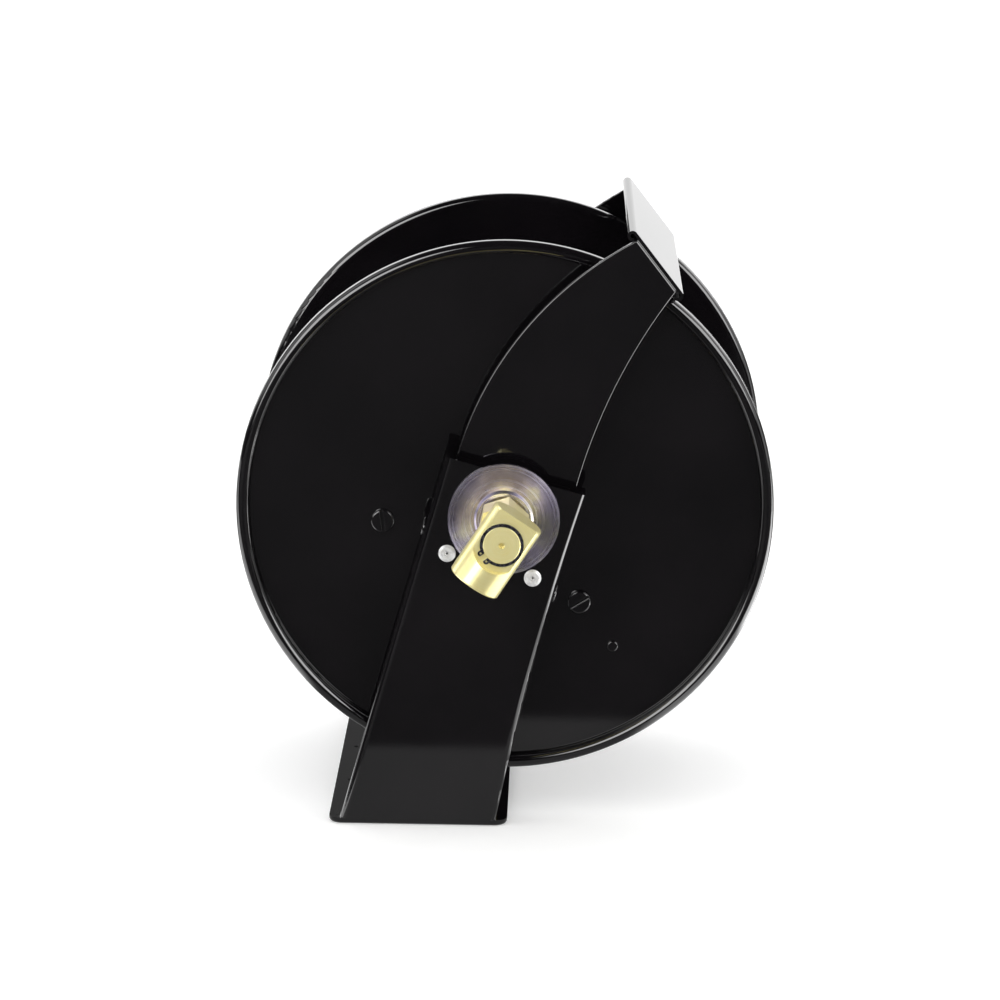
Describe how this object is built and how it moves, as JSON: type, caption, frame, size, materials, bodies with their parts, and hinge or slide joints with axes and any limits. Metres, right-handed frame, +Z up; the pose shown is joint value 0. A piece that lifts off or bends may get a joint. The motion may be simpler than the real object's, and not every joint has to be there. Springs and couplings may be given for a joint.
{
  "type": "spring return hose reel",
  "caption": "Fixed-base spring-return hose reel with twin leaning posts, flanged drum, curved guide arms and a brass swivel water inlet.",
  "frame": {"origin": "centre of the base plate's underside, which is the centre of its four fixing holes", "axes": "+Z up, the reel's axis along Y with the water inlet at -Y, +X towards the guide arm tips"},
  "size_m": [0.4399, 0.5247, 0.489],
  "materials": {
    "black_powder_coat": "gloss powder coat",
    "zinc_plate": "bright zinc plate with a faint rainbow",
    "black_fastener": "gloss black",
    "bright_zinc": "bright zinc",
    "plain_steel": "satin steel",
    "ground_steel": "ground",
    "spring_steel": "blued spring steel",
    "yellow_brass": "machined brass",
    "seal_rubber": "matte"
  },
  "bodies": {
    "frame": {"base_plate": "black_powder_coat", "post_near": "black_powder_coat", "post_far": "black_powder_coat", "guide_arm_near": "black_powder_coat", "guide_arm_far": "black_powder_coat", "guide_cross_plate": "black_powder_coat", "arm_bolts": "black_fastener", "arm_nuts": "bright_zinc", "bearing_housing": "plain_steel", "arbor_bracket": "plain_steel", "bearing_outer_race": "ground_steel", "bearing_balls": "ground_steel", "hub_cover_near": "zinc_plate", "hub_cover_far": "zinc_plate", "blind_rivets": "bright_zinc", "spring_arbor": "ground_steel", "arbor_nut": "bright_zinc", "latch_stud": "ground_steel", "latch_spring": "spring_steel"},
    "reel": {"flange_disc_near": "black_powder_coat", "flange_disc_far": "black_powder_coat", "drum_shell": "black_powder_coat", "hub_plate_near": "plain_steel", "spring_case_cover": "plain_steel", "spring_case": "plain_steel", "arbor_bush_outer": "yellow_brass", "arbor_bush_inner": "yellow_brass", "mainspring": "spring_steel", "tie_bolts": "black_fastener", "tie_nuts": "bright_zinc", "disc_rivet": "black_fastener", "inlet_shaft": "ground_steel", "shaft_collar": "plain_steel", "collar_screw": "bright_zinc", "outlet_manifold": "yellow_brass", "outlet_coupling": "yellow_brass", "ratchet_ring": "plain_steel", "ratchet_screws": "bright_zinc", "bearing_inner_race": "ground_steel", "swivel_stem": "yellow_brass", "retaining_ring": "spring_steel"},
    "swivel": {"swivel_body": "yellow_brass", "swivel_seals": "seal_rubber"},
    "latch": {"latch_pawl": "plain_steel"}
  },
  "joints": [
    {"name": "reel_spin", "type": "hinge", "parent": "frame", "child": "reel", "pos_m": [0.067, 0, 0.257], "axis": [0, 1, 0], "continuous": true},
    {"name": "swivel_turn", "type": "hinge", "parent": "frame", "child": "swivel", "pos_m": [0.067, -0.282, 0.257], "axis": [0, 1, 0], "continuous": true},
    {"name": "latch_lift", "type": "hinge", "parent": "frame", "child": "latch", "pos_m": [0.112, 0.144, 0.329], "axis": [0, 1, 0], "range_deg": [0, 18], "stiffness_Nm_per_rad": 0.05, "springref_deg": -22.92}
  ]
}
